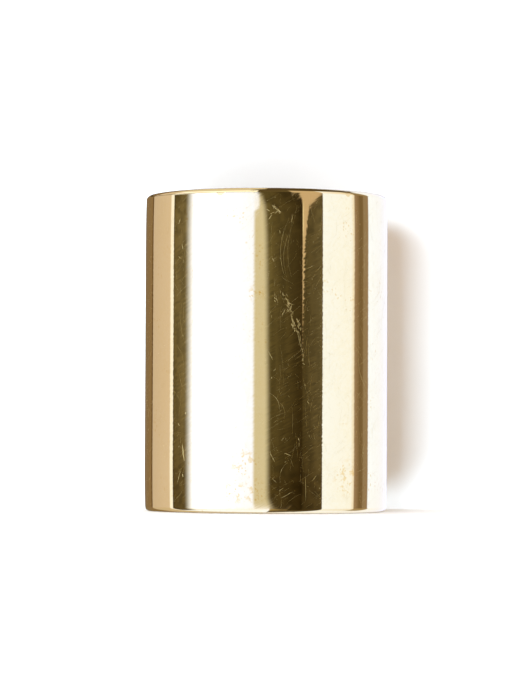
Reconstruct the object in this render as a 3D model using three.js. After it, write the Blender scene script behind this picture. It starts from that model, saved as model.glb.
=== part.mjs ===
// A guitar slide: one short length of solid brass tube that a player wears on a finger and glides
// along the strings. It has a straight bore for the finger, a plain cylindrical playing surface,
// and rounded edges at both ends so that it neither cuts the finger nor catches a string.
//
// Millimetres, +Z up. The slide stands on one end, because on its side it would roll away. The
// bore's axis is the Z axis, and the origin is where that axis meets the lower end face.

import * as THREE from "three";

// Driving dimensions
const LENGTH = 28.6; // end face to end face
const OUTER_DIAMETER = 22;
const BORE_DIAMETER = 19;
const OUTER_EDGE_RADIUS = 0.4; // rounding between the playing surface and each end face
const BORE_EDGE_RADIUS = 0.35; // rounding at each mouth of the bore
const BUFFED_LENGTH = 4; // how far in from each end buffing has thinned the playing surface
const BUFFED_DEPTH = 0.05; // what buffing has taken off the radius where the outer rounding begins

// How finely curves become flat faces
const FACES_ROUND = 96;
const EDGE_FACES = 5;
const BUFFED_FACES = 3;

const BRASS = new THREE.MeshStandardMaterial({
  name: "polished_brass",
  color: new THREE.Color(0.91, 0.778, 0.423),
  metalness: 1,
  roughness: 0.12,
});

// Points along a quarter circle of the given radius round (x, y), starting at a share of a full turn.
function quarterRound(x, y, radius, fromTurn) {
  const points = [];
  for (let i = 0; i <= EDGE_FACES; i++) {
    const angle = 2 * Math.PI * (fromTurn + (0.25 * i) / EDGE_FACES);
    points.push(new THREE.Vector2(x + radius * Math.cos(angle), y + radius * Math.sin(angle)));
  }
  return points;
}

// The playing surface near the upper end, from where buffing starts to where the outer rounding starts.
function buffedWall(outerRadius, edgeY) {
  const points = [];
  for (let i = 0; i < BUFFED_FACES; i++) {
    const share = i / BUFFED_FACES;
    const y = edgeY - BUFFED_LENGTH * (1 - share);
    points.push(new THREE.Vector2(outerRadius - BUFFED_DEPTH * share * share, y));
  }
  return points;
}

// The upper half of the wall's cross-section: up the playing surface, over the end face and back
// down the bore. x is the distance from the axis, and y is the height above the slide's middle.
function halfSection() {
  const outerRadius = OUTER_DIAMETER / 2;
  const boreRadius = BORE_DIAMETER / 2;
  const outerEdgeY = LENGTH / 2 - OUTER_EDGE_RADIUS;
  const boreEdgeY = LENGTH / 2 - BORE_EDGE_RADIUS;
  const outerEdgeX = outerRadius - BUFFED_DEPTH - OUTER_EDGE_RADIUS;
  return [
    ...buffedWall(outerRadius, outerEdgeY),
    ...quarterRound(outerEdgeX, outerEdgeY, OUTER_EDGE_RADIUS, 0),
    ...quarterRound(boreRadius + BORE_EDGE_RADIUS, boreEdgeY, BORE_EDGE_RADIUS, 0.25),
  ];
}

// The whole cross-section of the wall, closed on itself: the upper half, then its mirror image.
function section() {
  const upper = halfSection();
  const lower = upper.map((point) => new THREE.Vector2(point.x, -point.y)).reverse();
  return [...upper, ...lower, upper[0].clone()];
}

function slideTube() {
  const mesh = new THREE.Mesh(new THREE.LatheGeometry(section(), FACES_ROUND), BRASS);
  mesh.name = "slide_tube";
  mesh.rotation.x = Math.PI / 2;
  mesh.position.z = LENGTH / 2;
  return mesh;
}

const guitarSlide = new THREE.Group();
guitarSlide.add(slideTube());

export default guitarSlide;
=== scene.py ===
"""A polished brass guitar slide, standing in front of a pale backdrop.

Metres, +Z up, +Y away from the camera.
"""

import math
import random

import bpy
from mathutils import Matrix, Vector, noise


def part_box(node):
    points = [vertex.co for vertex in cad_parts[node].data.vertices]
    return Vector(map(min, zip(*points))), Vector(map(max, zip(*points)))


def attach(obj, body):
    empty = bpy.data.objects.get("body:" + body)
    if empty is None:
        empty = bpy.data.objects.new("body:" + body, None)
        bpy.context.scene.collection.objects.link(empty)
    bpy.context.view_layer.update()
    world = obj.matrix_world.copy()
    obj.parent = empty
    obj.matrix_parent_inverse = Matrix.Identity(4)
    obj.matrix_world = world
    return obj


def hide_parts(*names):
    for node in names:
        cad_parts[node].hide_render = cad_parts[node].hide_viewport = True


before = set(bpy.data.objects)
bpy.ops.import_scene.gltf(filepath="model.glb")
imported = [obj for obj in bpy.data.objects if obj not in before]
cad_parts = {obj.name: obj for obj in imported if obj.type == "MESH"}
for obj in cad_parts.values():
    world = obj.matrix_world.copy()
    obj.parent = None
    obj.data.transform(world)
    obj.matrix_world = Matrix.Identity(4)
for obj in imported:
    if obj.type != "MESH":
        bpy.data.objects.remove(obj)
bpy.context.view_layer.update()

MM = 0.001
LOW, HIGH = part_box("slide_tube")
RADIUS = (HIGH.x - LOW.x) / 2
LENGTH = HIGH.z - LOW.z
MIDDLE = (HIGH.z + LOW.z) / 2

# The tube's cross-section
WALL = 1.5 * MM
OUTER_EDGE_RADIUS = 0.4 * MM
BORE_EDGE_RADIUS = 0.35 * MM
BUFFED_LENGTH = 4 * MM
BUFFED_DEPTH = 0.05 * MM
SEGMENTS_ROUND = 384

# How finely each stretch of half the cross-section is divided. The bore's steps shorten towards its middle.
FLAT_STEPS = 20
BUFFED_STEPS = 24
OUTER_EDGE_STEPS = 12
END_FACE_STEPS = 4
BORE_EDGE_STEPS = 10
BORE_STEPS = 14
BORE_CROWDING = 1.5

# Unevenness that hand polishing leaves in the playing surface
RIPPLE_HEIGHT = 0.0025 * MM
RIPPLE_LENGTH = 5 * MM

# Small dents in the outer edges: (degrees round from the front towards +X, top or bottom, width, depth).
# DENT_DROP is how far in from the slide's end their middles are, and DENT_SPREAD how far they reach along the
# slide, both in outer edge radii.
DENT_DROP = 0.4
DENT_SPREAD = 0.8
EDGE_DENTS = [
    (-63, "top", 0.25 * MM, 0.014 * MM),
    (-22, "top", 0.20 * MM, 0.010 * MM),
    (41, "top", 0.22 * MM, 0.012 * MM),
    (118, "top", 0.40 * MM, 0.030 * MM),
    (-148, "top", 0.30 * MM, 0.022 * MM),
    (12, "bottom", 0.20 * MM, 0.012 * MM),
    (-80, "bottom", 0.35 * MM, 0.020 * MM),
    (160, "bottom", 0.45 * MM, 0.030 * MM),
]


# ---- Camera --------------------------------------------------------------------------------------

CAMERA_DISTANCE = 26 * RADIUS
CAMERA_ASIDE = -0.081 * RADIUS
CAMERA_BELOW_MIDDLE = 0.72 * RADIUS
CAMERA_TILT = (91.655, -0.24, -0.12)
CAMERA_LENS = 161.5
CAMERA_NEAREST = 0.01
CAMERA_FARTHEST = 20


def make_camera():
    data = bpy.data.cameras.new("camera")
    data.lens = CAMERA_LENS
    data.clip_start = CAMERA_NEAREST
    data.clip_end = CAMERA_FARTHEST
    camera = bpy.data.objects.new("camera", data)
    camera.location = (CAMERA_ASIDE, -CAMERA_DISTANCE, MIDDLE - CAMERA_BELOW_MIDDLE)
    camera.rotation_euler = [math.radians(a) for a in CAMERA_TILT]
    bpy.context.scene.collection.objects.link(camera)
    bpy.context.scene.camera = camera


# ---- Shader nodes --------------------------------------------------------------------------------


class Nodes:
    """Adds nodes to a node tree. An input given a socket is linked to it, and one given a value is set."""

    def __init__(self, tree):
        self.tree = tree
        tree.nodes.clear()

    def add(self, kind, inputs=None, **settings):
        node = self.tree.nodes.new("ShaderNode" + kind)
        for name, value in settings.items():
            setattr(node, name, value)
        for name, value in (inputs or {}).items():
            if isinstance(value, bpy.types.NodeSocket):
                self.tree.links.new(value, node.inputs[name])
            else:
                node.inputs[name].default_value = value
        return node

    def math(self, operation, *values):
        return self.add("Math", dict(enumerate(values)), operation=operation).outputs[0]

    def blend(self, share, first, second, way="MIX"):
        """A colour that goes from first to second as share goes from 0 to 1."""
        node = self.add("Mix", {0: share, 6: first, 7: second}, data_type="RGBA", blend_type=way)
        return node.outputs[2]

    def mix(self, share, first, second):
        """A number that goes from first to second as share goes from 0 to 1."""
        return self.add("Mix", {0: share, 2: first, 3: second}).outputs[0]

    def step(self, value, start, end):
        """0 where value is before start and 1 where it is past end, with a smooth rise between."""
        inputs = {"Value": value, "From Min": start, "From Max": end}
        node = self.add("MapRange", inputs, interpolation_type="SMOOTHSTEP")
        return node.outputs["Result"]


# ---- Surroundings that the brass mirrors ---------------------------------------------------------

# Directions are in degrees: around, from straight at the camera towards +X, and up from the horizon.
# The lists hold runs of colour, as (from, to, colour at from, colour at to) around. Neighbours meet over
# EDGE_DEGREES. A Blender ramp has 32 stops, so a list holds 16 runs at most.
EDGE_DEGREES = 0.5
GREY_BOARD = (0.735, 0.695, 0.665)
TAN_TABLE = (0.75, 0.63, 0.61)
BROWN_TABLE = (0.26, 0.18, 0.11)
DARK_ROOM = (0.10, 0.068, 0.034)
GAP_LIGHT = (1.05, 0.90, 0.72)

# Level with the slide
AROUND = [
    (-180, -139.8, (0.22, 0.155, 0.10), (0.28, 0.185, 0.10)),
    (-139.8, -137.5, (0.12, 0.07, 0.03), (0.12, 0.07, 0.03)),
    (-137.5, -103.2, (0.66, 0.54, 0.50), (0.77, 0.645, 0.645)),
    (-103.2, -86, (1.15, 1.15, 1.45), (1.20, 1.27, 1.70)),
    (-86, -72, (1.15, 1.25, 1.6), (1.35, 1.52, 2.7)),
    (-72, -62, (1.60, 1.80, 3.2), (2.6, 2.8, 4.2)),
    (-62, -40, (2.8, 3.0, 4.4), (2.8, 3.0, 4.4)),
    (-40, -12, (1.3, 1.5, 2.7), (1.11, 1.28, 2.30)),
    (-12, 24, (1.12, 1.25, 2.1), (1.0, 1.0, 1.2)),
    (24, 54, (0.66, 0.50, 0.38), (0.64, 0.48, 0.38)),
    (54, 88, (1.09, 1.225, 1.90), (1.09, 1.19, 1.73)),
    (88, 91.7, (1.08, 1.16, 1.65), (1.0, 0.95, 1.1)),
    (91.7, 99, (0.386, 0.277, 0.23), (0.24, 0.165, 0.105)),
    (99, 104.5, (0.20, 0.135, 0.08), (0.22, 0.15, 0.09)),
    (104.5, 113.3, (0.32, 0.245, 0.19), (0.34, 0.25, 0.20)),
    (113.3, 180, (1.10, 1.28, 2.15), (1.05, 1.08, 1.40)),
]
# Above it, below it, underfoot and overhead
HIGHER = [
    (-180, -139, BROWN_TABLE, BROWN_TABLE),
    (-139, -103, TAN_TABLE, TAN_TABLE),
    (-103, -9, (1.2, 1.2, 1.5), (1.6, 1.6, 1.9)),
    (-9, 23, (0.12, 0.09, 0.045), (0.12, 0.09, 0.045)),
    (23, 54.6, (0.68, 0.52, 0.40), (0.66, 0.50, 0.38)),
    (54.6, 92, (1.08, 1.10, 1.45), (0.95, 0.85, 0.85)),
    (92, 114, (0.30, 0.22, 0.15), (0.40, 0.30, 0.20)),
    (114, 170, (1.10, 1.25, 2.0), (1.05, 1.15, 1.7)),
    (170, 180, (0.40, 0.30, 0.20), (0.20, 0.14, 0.08)),
]
LOWER = [
    (-180, -137, (0.24, 0.18, 0.10), (0.30, 0.20, 0.12)),
    (-137, -103, (0.66, 0.54, 0.46), (0.70, 0.58, 0.50)),
    (-103, -60, (1.05, 1.05, 1.35), (1.2, 1.25, 1.8)),
    (-60, 4, (1.25, 1.35, 2.1), (1.15, 1.20, 1.8)),
    (4, 14, (0.45, 0.33, 0.16), (0.20, 0.145, 0.08)),
    (14, 54.6, (0.17, 0.12, 0.065), (0.15, 0.11, 0.065)),
    (54.6, 92, (1.05, 1.10, 1.5), (1.0, 1.0, 1.25)),
    (92, 114, (0.42, 0.32, 0.22), (0.42, 0.32, 0.22)),
    (114, 170, (1.10, 1.22, 1.9), (1.05, 1.12, 1.6)),
    (170, 180, (0.50, 0.40, 0.28), (0.35, 0.26, 0.16)),
]
FOOT = [
    (-180, -137, (0.75, 0.73, 0.95), (0.60, 0.50, 0.45)),
    (-137, -103, (0.66, 0.54, 0.46), (0.70, 0.58, 0.50)),
    (-103, 3, (1.12, 1.25, 1.9), (1.15, 1.30, 2.1)),
    (3, 54.6, (0.15, 0.11, 0.06), (0.15, 0.11, 0.06)),
    (54.6, 165, (1.10, 1.20, 1.8), (1.05, 1.12, 1.6)),
    (165, 180, (0.75, 0.73, 0.95), (0.75, 0.73, 0.95)),
]
CEILING = [
    (-180, -20, (0.80, 0.72, 0.68), (0.80, 0.72, 0.68)),
    (-20, 180, DARK_ROOM, DARK_ROOM),
]
HIGHER_FROM, HIGHER_TO = 7.35, 7.7
LOWER_FROM, LOWER_TO = -3.9, -4.4
CEILING_FROM, CEILING_TO = 40, 47
FOOT_FROM, FOOT_TO = -30, -42

# Where the grey card's own colour gives way to what is behind it
GREY_FADE = (18, 23)

# The tones of the dark flags, how much darker their upper and lower ends are, and where that begins and ends
FLAG_SHADE = (0.64, 0.58, 0.50)
SHADE_BELOW = (-2.5, 2.0)
SHADE_ABOVE = (8.6, 4.6)
FLAG_TONES = [
    (-180, -97.2, (0.10, 0.07, 0.035), (0.10, 0.07, 0.035)),
    (-97.2, -70, (0.15, 0.115, 0.06), (0.24, 0.20, 0.13)),
    (-70, 5, (0.16, 0.135, 0.068), (0.13, 0.105, 0.05)),
    (5, 34.2, (0.115, 0.09, 0.042), (0.044, 0.030, 0.012)),
    (34.2, 60, (0.078, 0.059, 0.028), (0.160, 0.130, 0.080)),
]


def ramp(n, place, runs):
    """A colour for each direction round, from a list of runs."""
    node = n.add("ValToRGB", {"Fac": place})
    stops = node.color_ramp.elements
    while len(stops) > 1:
        stops.remove(stops[0])
    ends = []
    for start, end, start_colour, end_colour in runs:
        ends.append((start + EDGE_DEGREES / 2, start_colour))
        ends.append((end - EDGE_DEGREES / 2, end_colour))
    for i, (degrees, colour) in enumerate(ends):
        position = (degrees + 180) / 360
        stop = stops.new(position) if i else stops[0]
        stop.position = position
        stop.color = (*colour, 1)
    return node.outputs["Color"]


def card(n, around, up, left, right, bottom, top, corner, soft):
    """1 inside an upright card with rounded corners and 0 outside it. corner is its size (round, up), and its
    edge takes soft degrees."""
    squash = corner[0] / corner[1]
    high = n.math("MULTIPLY", up, squash)
    spread = []
    for value, low, far in ((around, left, right), (high, bottom * squash, top * squash)):
        off_centre = n.math("ABSOLUTE", n.math("SUBTRACT", value, (low + far) / 2))
        spread.append(n.math("SUBTRACT", off_centre, (far - low) / 2 - corner[0]))
    squares = [n.math("POWER", n.math("MAXIMUM", value, 0.0), 2.0) for value in spread]
    outside = n.math("SQRT", n.math("ADD", *squares))
    inside = n.math("MINIMUM", n.math("MAXIMUM", *spread), 0.0)
    distance = n.math("SUBTRACT", n.math("ADD", outside, inside), corner[0])
    return n.step(distance, soft / 2, -soft / 2)


def grey_card(n, around, up):
    """The grey board in front of the white one. It is narrower at the top, where its left side steps in."""
    step_in, step_at = 4.5, (5.6, 6.3)
    cut = n.math("MULTIPLY", n.step(up, *step_at), step_in)
    cut_around = n.math("SUBTRACT", around, cut)
    return card(n, cut_around, up, left=-11.6, right=60, bottom=-4.2, top=60, corner=(3, 0.8), soft=3.6)


def left_flag(n, around, up):
    """Its left side is sharp and its right side is soft."""
    sharp = card(n, around, up, left=-98.9, right=0, bottom=-60, top=7.45, corner=(2.5, 0.35), soft=1.0)
    soft = card(n, around, up, left=-130, right=-78, bottom=-60, top=7.8, corner=(6, 0.9), soft=12.0)
    return n.math("MULTIPLY", sharp, soft)


def middle_flag(n, around, up):
    """Its left side leans to the left above lean_from, and more and more above spread_from. Its lower left
    and upper right corners are round, and left of no_top it goes on upwards."""
    lean_from, lean = 0.8, 0.65
    spread_from, spread = 6.0, 2.6
    no_top = (25, 22)
    above = n.math("MAXIMUM", n.math("SUBTRACT", up, spread_from), 0.0)
    spreading = n.math("MULTIPLY", n.math("POWER", above, 2.0), spread)
    leaning = n.math("MULTIPLY", n.math("MAXIMUM", n.math("SUBTRACT", up, lean_from), 0.0), lean)
    shifted = n.math("ADD", around, n.math("ADD", leaning, spreading))
    left = card(n, shifted, up, left=1.5, right=200, bottom=-4.5, top=60, corner=(12, 1.7), soft=7.0)
    right = card(n, around, up, left=-60, right=34.2, bottom=-60, top=7.5, corner=(9, 1.3), soft=1.2)
    right = n.math("MAXIMUM", right, n.step(around, *no_top))
    return n.math("MULTIPLY", left, right)


def right_flag(n, around, up):
    """A narrow gap that closes downward parts it from the middle flag. Its left side slants, and is frayed
    above fray_from. Its top slants up to the right."""
    left_side, right_side, top_side = (33.0, 33.9), (54.9, 54.3), (6.2, 6.0)
    lowest, upright_at, slant = -6.0, 1.54, 1.5
    fray_from, fray_length, fray_width = (3.6, 4.3), 0.6, 5.0
    top_at, top_slant = 40.0, 0.07
    slanting = n.math("MULTIPLY", n.math("SUBTRACT", n.math("MAXIMUM", up, lowest), upright_at), slant)
    threads = {"W": n.math("DIVIDE", up, fray_length), "Scale": 1.0}
    fray = n.math("SUBTRACT", n.add("TexNoise", threads, noise_dimensions="1D").outputs[0], 0.5)
    fray = n.math("MULTIPLY", fray, n.math("MULTIPLY", n.step(up, *fray_from), fray_width))
    left = n.step(n.math("SUBTRACT", around, n.math("ADD", slanting, fray)), *left_side)
    right = n.step(around, *right_side)
    rise = n.math("MULTIPLY", n.math("SUBTRACT", around, top_at), top_slant)
    top = n.step(n.math("SUBTRACT", up, rise), *top_side)
    return n.math("MULTIPLY", n.math("MULTIPLY", left, right), top)


def gap_light(n, around, up):
    """A pale line down the left of the gap between the two flags."""
    left_side, right_side = (33.0, 33.8), (35.6, 34.6)
    lower_end, upper_end = (3.4, 4.6), (6.8, 5.8)
    line = n.math("MULTIPLY", n.step(around, *left_side), n.step(around, *right_side))
    return n.math("MULTIPLY", line, n.math("MULTIPLY", n.step(up, *lower_end), n.step(up, *upper_end)))


def cloth(n, around, up):
    """How much lighter or darker the flags' cloth is from place to place."""
    size_around, size_up = 9.0, 0.5
    darkest, lightest = 0.74, 1.24
    contrast = (0.3, 0.7)
    scaled = {0: n.math("DIVIDE", around, size_around), 1: n.math("DIVIDE", up, size_up)}
    cloud = {"Vector": n.add("CombineXYZ", scaled).outputs[0], "Scale": 1.0, "Detail": 3.0}
    cloud = n.add("TexNoise", cloud, noise_dimensions="2D").outputs[0]
    return n.mix(n.step(cloud, *contrast), darkest, lightest)


def surroundings(n):
    """What a mirrored ray sees."""
    direction = n.add("SeparateXYZ", {0: n.add("TexCoord").outputs["Generated"]})
    x, y, z = direction.outputs
    around = n.math("DEGREES", n.math("ARCTAN2", x, n.math("MULTIPLY", y, -1.0)))
    up = n.math("DEGREES", n.math("ARCSINE", z))
    place = n.math("DIVIDE", n.math("ADD", around, 180.0), 360.0)

    colour = ramp(n, place, AROUND)
    grey = n.blend(n.step(around, *GREY_FADE), (*GREY_BOARD, 1), colour)
    colour = n.blend(grey_card(n, around, up), colour, grey)
    colour = n.blend(gap_light(n, around, up), colour, (*GAP_LIGHT, 1))
    colour = n.blend(n.step(up, HIGHER_FROM, HIGHER_TO), colour, ramp(n, place, HIGHER))
    colour = n.blend(n.step(up, LOWER_FROM, LOWER_TO), colour, ramp(n, place, LOWER))

    flags = ramp(n, place, FLAG_TONES)
    lit = n.math("MULTIPLY", n.step(up, *SHADE_BELOW), n.step(up, *SHADE_ABOVE))
    shaded = n.blend(1.0, flags, (*FLAG_SHADE, 1), "MULTIPLY")
    flags = n.blend(lit, shaded, flags)
    flags = n.blend(1.0, flags, cloth(n, around, up), "MULTIPLY")
    mask = n.math("MAXIMUM", left_flag(n, around, up), middle_flag(n, around, up))
    mask = n.math("MAXIMUM", mask, right_flag(n, around, up))
    colour = n.blend(mask, colour, flags)
    colour = n.blend(n.step(up, FOOT_FROM, FOOT_TO), colour, ramp(n, place, FOOT))
    return n.blend(n.step(up, CEILING_FROM, CEILING_TO), colour, ramp(n, place, CEILING))


def make_world():
    """Mirrored rays see the boards, flags and table round the slide. The camera sees white, and the pale
    surfaces get plain light."""
    world = bpy.data.worlds.new("studio")
    bpy.context.scene.world = world
    world.use_nodes = True
    world.cycles.sampling_method = "NONE"
    n = Nodes(world.node_tree)
    path = n.add("LightPath")
    plain = n.blend(path.outputs["Is Diffuse Ray"], (1, 1, 1, 1), (*AMBIENT, 1))
    seen = n.blend(path.outputs["Is Glossy Ray"], plain, surroundings(n))
    n.add("OutputWorld", {"Surface": n.add("Background", {"Color": seen}).outputs[0]})


# ---- Floor, backdrop and lights ------------------------------------------------------------------

# The light that the floor and the backdrop get from all round, and their own colour
AMBIENT = (0.50, 0.27, 0.10)
PALE = (0.86, 0.86, 0.86, 1)
STAGE_SIZE = 0.5
STAGE_GAP = 0.02 * MM

KEY_ASIDE = -0.215
KEY_DISTANCE = 0.55
KEY_WIDTH = 0.30
# name, height above the slide's middle, size upwards, power
KEYS = [
    ("upper_key", 0.168, 0.15, 3.9),
    ("lower_key", -0.222, 0.19, 3.3),
]
KEY_COLOUR = (0.67, 0.84, 0.98)
TOP_PLACE = (0, 0.10, 0.6)
TOP_SIZE = (0.3, 0.3)
TOP_POWER = 5.4


def pale_surface(name):
    """Matt white board that can't be seen from behind."""
    material = bpy.data.materials.new(name)
    material.use_nodes = True
    n = Nodes(material.node_tree)
    board = n.add("BsdfDiffuse", {"Color": PALE}).outputs[0]
    behind = n.add("NewGeometry").outputs["Backfacing"]
    clear = n.add("BsdfTransparent").outputs[0]
    n.add("OutputMaterial", {"Surface": n.add("MixShader", {0: behind, 1: board, 2: clear}).outputs[0]})
    return material


def stage_plane(name, location, tilt):
    """A square of pale board that the brass doesn't mirror, tilted back by tilt degrees."""
    mesh = bpy.data.meshes.new(name)
    half = STAGE_SIZE / 2
    corners = [(-half, -half, 0), (half, -half, 0), (half, half, 0), (-half, half, 0)]
    mesh.from_pydata(corners, [], [(0, 1, 2, 3)])
    mesh.materials.append(pale_surface(name))
    plane = bpy.data.objects.new(name, mesh)
    plane.location = location
    plane.rotation_euler = (math.radians(tilt), 0, 0)
    plane.visible_glossy = False
    bpy.context.scene.collection.objects.link(plane)
    return plane


def make_stage():
    """The floor, which light from below its level passes, and the upright backdrop that the slide's back
    touches."""
    floor = stage_plane("floor", (0, 0, LOW.z - STAGE_GAP), 0)
    floor.visible_shadow = False
    stage_plane("backdrop", (0, HIGH.y + STAGE_GAP, 0), 90)


def area_light(name, location, target, size, power, colour=(1, 1, 1)):
    data = bpy.data.lights.new(name, "AREA")
    data.shape = "RECTANGLE"
    data.size, data.size_y = size
    data.energy = power
    data.color = colour
    light = bpy.data.objects.new(name, data)
    light.location = location
    light.rotation_euler = (Vector(target) - Vector(location)).to_track_quat("-Z", "Y").to_euler()
    light.visible_glossy = False
    light.visible_camera = False
    bpy.context.scene.collection.objects.link(light)


def make_lights():
    """Two soft boxes on the left, one above the slide's level and one below it, and one overhead for the
    floor."""
    middle = (0, 0, MIDDLE)
    for name, height, tall, power in KEYS:
        place = (KEY_ASIDE, -KEY_DISTANCE, MIDDLE + height)
        area_light(name, place, middle, (KEY_WIDTH, tall), power, KEY_COLOUR)
    area_light("top", TOP_PLACE, (*TOP_PLACE[:2], 0), TOP_SIZE, TOP_POWER)


# ---- The slide -----------------------------------------------------------------------------------


def arc(x, z, radius, start, end, steps):
    """Points of an arc about (x, z), from one angle to another, in degrees."""
    angles = [math.radians(start + (end - start) * i / steps) for i in range(steps + 1)]
    return [(x + radius * math.cos(a), z + radius * math.sin(a)) for a in angles]


def half_section():
    """From the middle of the playing surface over the end face to the middle of the bore, as (radius, height
    above the middle)."""
    half = LENGTH / 2
    bore = RADIUS - WALL
    edge = half - OUTER_EDGE_RADIUS
    points = [(RADIUS, (edge - BUFFED_LENGTH) * i / FLAT_STEPS) for i in range(FLAT_STEPS)]
    for i in range(BUFFED_STEPS + 1):
        to_edge = 1 - i / BUFFED_STEPS
        share = 1 - to_edge * to_edge
        points.append((RADIUS - BUFFED_DEPTH * share * share, edge - BUFFED_LENGTH * (1 - share)))
    outer_centre = RADIUS - BUFFED_DEPTH - OUTER_EDGE_RADIUS
    points += arc(outer_centre, edge, OUTER_EDGE_RADIUS, 0, 90, OUTER_EDGE_STEPS)[1:]
    bore_centre = bore + BORE_EDGE_RADIUS
    for i in range(1, END_FACE_STEPS):
        points.append((outer_centre + (bore_centre - outer_centre) * i / END_FACE_STEPS, half))
    points += arc(bore_centre, half - BORE_EDGE_RADIUS, BORE_EDGE_RADIUS, 90, 180, BORE_EDGE_STEPS)
    for i in range(1, BORE_STEPS + 1):
        points.append((bore, (half - BORE_EDGE_RADIUS) * (1 - i / BORE_STEPS) ** BORE_CROWDING))
    return points


def section():
    upper = half_section()
    lower = [(r, -z) for r, z in reversed(upper[1:-1])]
    return upper + lower


def dent(angle, height):
    """How far the edge dents push a point on the outer rounding in."""
    depth = 0.0
    for degrees, end, width, deepest in EDGE_DENTS:
        edge = LENGTH / 2 - OUTER_EDGE_RADIUS * DENT_DROP
        rise = height - edge if end == "top" else -height - edge
        turn = (angle - math.radians(degrees) + math.pi) % (2 * math.pi) - math.pi
        across = turn * RADIUS / width
        along = rise / (OUTER_EDGE_RADIUS * DENT_SPREAD)
        depth += deepest * math.exp(-across * across - along * along)
    return depth


def make_tube():
    """The whole slide: a lathed wall, with ripples and dents, and its seam at the back."""
    points = section()
    count = len(points)
    vertices = []
    for i in range(SEGMENTS_ROUND):
        angle = 2 * math.pi * i / SEGMENTS_ROUND
        across = Vector((math.sin(angle), -math.cos(angle), 0))
        for radius, height in points:
            place = across * radius + Vector((0, 0, height))
            ripple = RIPPLE_HEIGHT * noise.noise(place / RIPPLE_LENGTH)
            inward = dent(angle, height) if radius > RADIUS - WALL / 2 else 0.0
            vertices.append(across * (radius + ripple - inward) + Vector((0, 0, MIDDLE + height)))
    faces = []
    for i in range(SEGMENTS_ROUND):
        j = (i + 1) % SEGMENTS_ROUND
        for k in range(count):
            m = (k + 1) % count
            faces.append((i * count + k, j * count + k, j * count + m, i * count + m))
    places = surface_map(points)
    strip_points, strip_faces, strip_places = make_scratches()
    first = len(vertices)
    smooth_faces = len(faces)
    vertices += strip_points
    faces += [tuple(first + i for i in face) for face in strip_faces]
    places += [strip_places[i] for face in strip_faces for i in face]
    mesh = bpy.data.meshes.new("slide")
    mesh.from_pydata(vertices, [], faces)
    mesh.shade_smooth()
    mesh.uv_layers.new(name="surface").data.foreach_set("uv", [x for place in places for x in place])
    mesh.polygons.foreach_set("material_index", [0] * smooth_faces + [1] * len(strip_faces))
    tube = bpy.data.objects.new("slide", mesh)
    bpy.context.scene.collection.objects.link(tube)
    return tube


def surface_map(points):
    """The map place of each corner of each face, in millimetres: round the tube from the front, and along its
    cross-section from the middle of the playing surface. Places below that middle are negative."""
    along = [0.0]
    for (r0, z0), (r1, z1) in zip(points, points[1:] + points[:1]):
        along.append(along[-1] + math.hypot(r1 - r0, z1 - z0) / MM)
    count = len(points)
    places = []
    for row in range(SEGMENTS_ROUND):
        first = row / SEGMENTS_ROUND - (1.0 if row >= SEGMENTS_ROUND // 2 else 0.0)
        for k in range(count):
            below = along[-1] if k >= count // 2 else 0.0
            for di, dk in ((0, 0), (1, 0), (1, 1), (0, 1)):
                turn = first + di / SEGMENTS_ROUND
                places.append((turn * 2 * math.pi * RADIUS / MM, along[k + dk] - below))
    return places


# ---- Scratches -----------------------------------------------------------------------------------

# The scratches and knocks that stand out: (round, up, lean in degrees, length, width), in millimetres from
# the middle of the front
SCRATCHES = [
    # through the gouge and beside it
    (2.86, 1.15, -77, 1.90, 0.045),
    (2.33, 2.45, -75, 1.50, 0.040),
    (1.95, 3.90, -70, 1.10, 0.040),
    (1.55, 3.45, 62, 0.50, 0.045),
    (1.42, 3.20, 75, 0.30, 0.045),
    (2.10, 4.10, -14, 0.60, 0.040),
    # the star near the top
    (0.80, 12.45, -40, 0.60, 0.057),
    (1.05, 12.25, -62, 0.55, 0.070),
    (0.85, 12.15, 48, 0.50, 0.046),
    (0.60, 12.60, 80, 0.45, 0.046),
    (0.45, 12.05, 22, 0.55, 0.043),
    (0.28, 11.70, 55, 0.55, 0.055),
    (0.10, 12.30, -30, 0.40, 0.041),
    (1.15, 10.40, -75, 0.28, 0.064),
    (0.55, 7.95, -68, 0.40, 0.043),
    (2.20, 11.60, 88, 0.75, 0.031),
    # odd knocks lower down
    (0.35, -0.45, -62, 0.85, 0.037),
    (0.70, -1.70, 52, 0.35, 0.035),
    (0.45, -2.40, 90, 0.16, 0.053),
    (3.45, -3.05, 80, 0.18, 0.053),
    (3.75, -4.55, -62, 0.32, 0.055),
    (1.90, -9.10, -14, 0.66, 0.055),
    (2.88, -7.75, -62, 0.28, 0.065),
    (2.92, -8.25, -80, 0.30, 0.030),
    (1.45, -7.75, 44, 0.46, 0.030),
    (0.55, -9.35, -62, 0.98, 0.037),
    (0.75, -11.40, -40, 0.56, 0.031),
    (1.35, -12.20, 38, 0.46, 0.040),
    (1.85, -12.65, 28, 1.15, 0.031),
    (3.55, -12.00, 90, 2.40, 0.028),
    (4.35, -11.20, 50, 0.60, 0.037),
    (3.90, 7.35, 22, 0.85, 0.028),
    # down the left side
    (-8.02, -8.95, -80, 1.65, 0.100),
    (-8.05, -11.00, 88, 0.30, 0.091),
    (-8.60, -6.50, -50, 0.35, 0.052),
    (-7.75, -5.50, 88, 0.22, 0.109),
    (-8.50, -11.10, 66, 1.40, 0.041),
    (-8.60, 11.50, 72, 0.60, 0.052),
    (-8.55, 8.30, -38, 0.40, 0.041),
    (-8.20, 9.20, -75, 0.60, 0.039),
]

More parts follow.
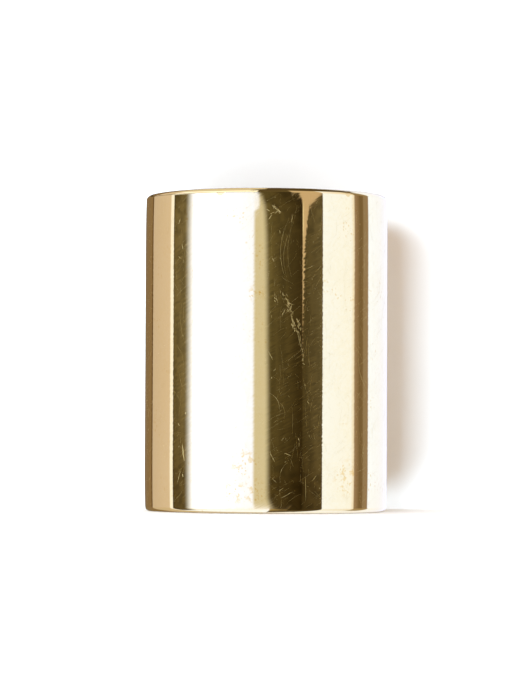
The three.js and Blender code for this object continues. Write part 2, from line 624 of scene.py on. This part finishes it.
# The long gouge down the front is strings of torn flecks, and so is part of the star near the top:
# (round, up) of one end, (round, up) of the other, how many flecks, how far they stray, and their width
GOUGE = [
    ((1.30, 5.25), (1.80, 4.45), 7, 0.06, 0.045),
    ((1.85, 4.45), (2.10, 3.50), 13, 0.10, 0.085),
    ((2.05, 3.60), (2.30, 2.80), 6, 0.06, 0.060),
    ((2.26, 2.85), (2.48, 1.65), 13, 0.08, 0.085),
    ((2.72, 2.70), (2.88, 2.00), 8, 0.08, 0.085),
    ((2.50, 1.95), (2.85, 1.60), 4, 0.06, 0.055),
    ((2.85, 1.70), (3.22, -0.10), 9, 0.03, 0.045),
    ((3.18, 0.00), (3.32, -1.20), 6, 0.04, 0.050),
    ((0.55, 4.95), (0.85, 4.20), 8, 0.12, 0.045),
    ((0.50, 12.60), (1.10, 12.10), 9, 0.20, 0.040),
]

# Long faint arcs: (round, up, lean in degrees, length, width, how far they bow)
ARCS = [
    (1.22, 8.95, 87, 5.4, 0.019, -0.60),
    (1.50, 8.60, 85, 4.4, 0.013, -0.45),
    (1.85, 8.90, 88, 4.8, 0.012, -0.40),
    (0.95, -4.30, -58, 1.9, 0.018, -0.35),
    (1.60, -5.20, -75, 1.5, 0.013, -0.25),
    (1.30, -10.60, 70, 1.9, 0.013, -0.30),
    (-6.00, 3.00, 70, 4.0, 0.013, 0.50),
    (9.50, -2.00, -66, 4.2, 0.013, 0.60),
    (14.00, 4.00, 60, 5.0, 0.016, -0.60),
    (-15.00, -4.00, -72, 5.5, 0.016, 0.70),
    (25.00, 2.00, 50, 6.0, 0.016, 0.80),
    (-26.00, -3.00, -60, 5.0, 0.016, -0.50),
]

# Fine scratches all over: (how many, lean in degrees, spread of lean, shortest, longest, width)
FINE_SCRATCHES = [
    (1900, 38, 9, 0.4, 1.8, 0.0048),
    (700, -58, 14, 0.3, 1.4, 0.0055),
    (600, 86, 8, 0.5, 2.8, 0.0048),
    (240, 8, 40, 0.2, 0.9, 0.006),
    (700, 20, 80, 0.06, 0.22, 0.020),
]
# They stay this far inside the ends, and any that would be shorter than SHORTEST is left out
END_MARGIN = 0.6
SHORTEST = 0.15
# How far a strip lies above the surface, the length of its steps and how few it may have, and half its width
# at its tips
LIFT = 0.003
SCRATCH_STEP = 0.35
FEWEST_STEPS = 4
TIP = 0.0015
# How ragged gouges and knocks are, and how far full raggedness shifts a strip and swells its width
GOUGE_RAGGED = 0.06
KNOCK_RAGGED = 0.09
SHIFT = 0.3
SWELL = 4
# The flecks of a gouge: spread of their lean in degrees, lengths, and widths as shares of the gouge's
FLECK_SPREAD = 24
FLECK_LENGTHS = (0.12, 0.42)
FLECK_WIDTHS = (0.35, 1.1)
# Fine scratches: widths as shares of their list's, and how much they bow for their length
FINE_WIDTHS = (0.6, 1.4)
FINE_BOW = 0.03

chance = random.Random(11)


def surface_point(round_, up):
    """Where a place on the playing surface is, given in millimetres from the middle of the front."""
    to_edge = LENGTH / 2 - OUTER_EDGE_RADIUS - abs(up) * MM
    share = max(0.0, 1 - to_edge / BUFFED_LENGTH)
    radius = RADIUS - BUFFED_DEPTH * share * share + LIFT * MM
    angle = round_ * MM / RADIUS
    return (radius * math.sin(angle), -radius * math.cos(angle), MIDDLE + up * MM)


def add_scratch(strips, round_, up, lean, length, width, bow=0.0, ragged=0.0):
    """A thin strip that tapers to both its ends. strips holds the points, faces and map places of all."""
    points, faces, places = strips
    steps = max(FEWEST_STEPS, round(length / SCRATCH_STEP))
    cos, sin = math.cos(math.radians(lean)), math.sin(math.radians(lean))
    start = len(points)
    for i in range(steps + 1):
        t = 2 * i / steps - 1
        along = t * length / 2
        middle = bow * t * t + ragged * chance.uniform(-SHIFT, SHIFT)
        half = max(TIP, width / 2 * (1 - t * t) * (1 + ragged * chance.uniform(-SWELL, SWELL)))
        for side in (middle - half, middle + half):
            place = (round_ + along * cos - side * sin, up + along * sin + side * cos)
            places.append(place)
            points.append(surface_point(*place))
    for i in range(start, start + 2 * steps, 2):
        faces.append((i, i + 2, i + 3, i + 1))


def add_gouge(strips, top, bottom, count, stray, width):
    """A string of short torn flecks from top to bottom."""
    lean = math.degrees(math.atan2(bottom[1] - top[1], bottom[0] - top[0]))
    for i in range(count):
        share = (i + chance.random()) / count
        round_ = top[0] + (bottom[0] - top[0]) * share + chance.gauss(0, stray)
        up = top[1] + (bottom[1] - top[1]) * share + chance.gauss(0, stray)
        tilt = chance.gauss(lean, FLECK_SPREAD)
        length = chance.uniform(*FLECK_LENGTHS)
        fleck_width = width * chance.uniform(*FLECK_WIDTHS)
        add_scratch(strips, round_, up, tilt, length, fleck_width, ragged=GOUGE_RAGGED)


def make_scratches():
    """All the strips, as their points, faces and the map places of the points."""
    strips = ([], [], [])
    for string in GOUGE:
        add_gouge(strips, *string)
    for mark in SCRATCHES:
        add_scratch(strips, *mark, ragged=KNOCK_RAGGED)
    for curve in ARCS:
        add_scratch(strips, *curve)
    reach = LENGTH / 2 / MM - END_MARGIN
    for count, lean, spread, shortest, longest, width in FINE_SCRATCHES:
        for _ in range(count):
            place = (chance.uniform(-math.pi, math.pi) * RADIUS / MM, chance.uniform(-reach, reach))
            length = shortest + (longest - shortest) * chance.random() ** 2
            tilt = chance.gauss(lean, spread)
            steepness = max(0.05, abs(math.sin(math.radians(tilt))))
            length = min(length, 2 * (reach + 0.1 - abs(place[1])) / steepness)
            if length > SHORTEST:
                own_width = width * chance.uniform(*FINE_WIDTHS)
                bow = chance.gauss(0, FINE_BOW) * length
                add_scratch(strips, *place, tilt, length, own_width, bow)
    return strips


# ---- Brass ---------------------------------------------------------------------------------------

# Places and sizes here are in millimetres on the "surface" map. The playing surface ends at PLAYING_END.
BRASS = (0.91, 0.778, 0.423, 1)
WORN_BRASS = (0.905, 0.766, 0.402, 1)
TORN_BRASS = (0.70, 0.57, 0.20, 1)
RAW_BRASS = (0.90, 0.75, 0.30, 1)
TARNISH = (0.76, 0.46, 0.07, 1)
# Where the brown spots are thickest: (round, up, reach)
TARNISH_PATCHES = [
    (-1.1, -12.4, 1.5),
    (-2.7, -12.4, 1.4),
    (-1.9, -9.8, 1.7),
    (7.9, -11.2, 2.0),
    (-0.9, 5.0, 1.0),
]
# Spots for each millimetre, how thick the strewn ones are, and the lacy stain on the patches
SPOT_DENSITY = 3.4
STREWN_STRENGTH = 0.6
LACE_SIZE = 0.55
LACE_STRENGTH = 0.7
TARNISH_STRENGTH = 0.75
PLAYING_END = LENGTH / 2 / MM - 0.2
SMOOTHEST, ROUGHEST, TURNED_ROUGHNESS = 0.030, 0.075, 0.20
RIDGE_HEIGHT = 0.0022 * MM
# Where the ridges fade and what is left of them, and how high the rings are, as shares of the ridges' height
RIDGES_FADE = (8.5, 10.5)
RIDGES_LEFT = 0.22
RING_SHARE = 3.0


def turned_place(n, place, origin, lean, size):
    """place, measured along and across a line that leans, in lengths of size."""
    turn = (0, 0, math.radians(lean))
    inputs = {"Vector": place, "Location": (*origin, 0), "Rotation": turn, "Scale": (*size, 1)}
    return n.add("Mapping", inputs, vector_type="TEXTURE").outputs[0]


def noise_at(n, place, size, detail):
    """Noise about 0.5 whose features are about size millimetres."""
    inputs = {"Vector": place, "Scale": 1.0 / size, "Detail": detail}
    return n.add("TexNoise", inputs, noise_dimensions="2D").outputs[0]


def wobble(n, place):
    """A small shift that makes the outlines of spots ragged."""
    reach = 0.3
    cloud = n.add("TexNoise", {"Vector": place, "Scale": 4.0, "Detail": 3.0}, noise_dimensions="2D")
    centred = n.add("VectorMath", {0: cloud.outputs["Color"], 1: (0.5, 0.5, 0.5)}, operation="SUBTRACT")
    return n.add("VectorMath", {0: centred.outputs[0], "Scale": reach}, operation="SCALE").outputs[0]


def tarnish(n, place):
    """Small brown spots, strewn thinly all over and gathered in patches, with a lacy stain on the patches."""
    shifted = n.add("VectorMath", {0: place, 1: wobble(n, place)}, operation="ADD").outputs[0]
    spots = n.add("TexVoronoi", {"Vector": shifted, "Scale": SPOT_DENSITY}, voronoi_dimensions="2D")
    size = n.add("SeparateColor", {0: spots.outputs["Color"]}).outputs[0]
    size = n.math("POWER", size, 3.0)
    spot = n.step(spots.outputs["Distance"], n.math("MULTIPLY", size, 0.60), n.math("MULTIPLY", size, 0.05))
    strewn = n.math("MULTIPLY", n.step(noise_at(n, place, 3.4, 3.0), 0.54, 0.72), STREWN_STRENGTH)
    stained = 0.0
    for round_, up, reach in TARNISH_PATCHES:
        away = n.add("VectorMath", {0: place, 1: (round_, up, 0)}, operation="DISTANCE").outputs["Value"]
        stained = n.math("MAXIMUM", stained, n.step(away, reach, reach * 0.3))
    lace = n.step(noise_at(n, shifted, LACE_SIZE, 3.0), 0.53, 0.70)
    lace = n.math("MULTIPLY", lace, n.math("MULTIPLY", stained, LACE_STRENGTH))
    spots = n.math("MULTIPLY", spot, n.math("MAXIMUM", strewn, stained))
    return n.math("MAXIMUM", spots, lace)


def polishing_ridges(n, place):
    """The shallow ridges that polishing left round the playing surface, as a height. They fade near its
    ends."""
    ridges = noise_at(n, turned_place(n, place, (0, 0), 26, (2.2, 0.34)), 1.0, 1.0)
    up = n.math("ABSOLUTE", n.add("SeparateXYZ", {0: place}).outputs[1])
    return n.math("MULTIPLY", ridges, n.mix(n.step(up, *RIDGES_FADE), 1.0, RIDGES_LEFT))


def turning_rings(n, place):
    """The finer rings that turning left on the ends and in the bore, as a height from 0 to 1."""
    return noise_at(n, turned_place(n, place, (0, 0), 0.6, (14, 0.11)), 1.0, 2.0)


def brass_colour(n, place):
    """Brass, faintly mottled, with its tarnish."""
    mottling = n.mix(0.5, noise_at(n, place, 4.0, 4.0), noise_at(n, place, 0.35, 3.0))
    colour = n.blend(n.step(mottling, 0.40, 0.60), BRASS, WORN_BRASS)
    return n.blend(n.math("MULTIPLY", tarnish(n, place), TARNISH_STRENGTH), colour, TARNISH)


def polished_brass():
    """Hand-rubbed and scuffed outside, and as turned on the ends and in the bore."""
    material = bpy.data.materials.new("polished_brass")
    material.use_nodes = True
    n = Nodes(material.node_tree)
    place = n.add("UVMap", uv_map="surface").outputs[0]
    up = n.math("ABSOLUTE", n.add("SeparateXYZ", {0: place}).outputs[1])
    inner = n.step(up, PLAYING_END, PLAYING_END + 0.5)

    smudges = n.step(noise_at(n, place, 2.6, 5.0), 0.42, 0.75)
    rubbing = noise_at(n, turned_place(n, place, (3, 1), 38, (1.6, 0.12)), 1.0, 3.0)
    roughness = n.mix(n.math("MULTIPLY", n.step(rubbing, 0.45, 0.75), smudges), SMOOTHEST, ROUGHEST)
    roughness = n.mix(inner, roughness, TURNED_ROUGHNESS)

    rings = n.math("MULTIPLY", turning_rings(n, place), RING_SHARE)
    height = n.mix(inner, polishing_ridges(n, place), rings)
    bump = n.add("Bump", {"Height": height, "Distance": RIDGE_HEIGHT})
    inputs = {"Base Color": brass_colour(n, place), "Metallic": 1.0, "Roughness": roughness,
              "Normal": bump.outputs[0]}
    n.add("OutputMaterial", {"Surface": n.add("BsdfPrincipled", inputs).outputs[0]})
    return material


def scratched_brass():
    """The torn metal inside a scratch."""
    material = bpy.data.materials.new("scratched_brass")
    material.use_nodes = True
    n = Nodes(material.node_tree)
    place = n.add("UVMap", uv_map="surface").outputs[0]
    roughness = n.mix(noise_at(n, place, 0.15, 3.0), 0.45, 0.75)
    colour = n.blend(n.step(noise_at(n, place, 0.25, 3.0), 0.35, 0.65), TORN_BRASS, RAW_BRASS)
    inputs = {"Base Color": colour, "Metallic": 1.0, "Roughness": roughness}
    n.add("OutputMaterial", {"Surface": n.add("BsdfPrincipled", inputs).outputs[0]})
    return material


def main():
    make_camera()
    make_world()
    make_stage()
    make_lights()
    bpy.context.scene.view_settings.view_transform = "Standard"
    tube = make_tube()
    tube.data.materials.append(polished_brass())
    tube.data.materials.append(scratched_brass())
    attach(tube, "root")
    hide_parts("slide_tube")


main()
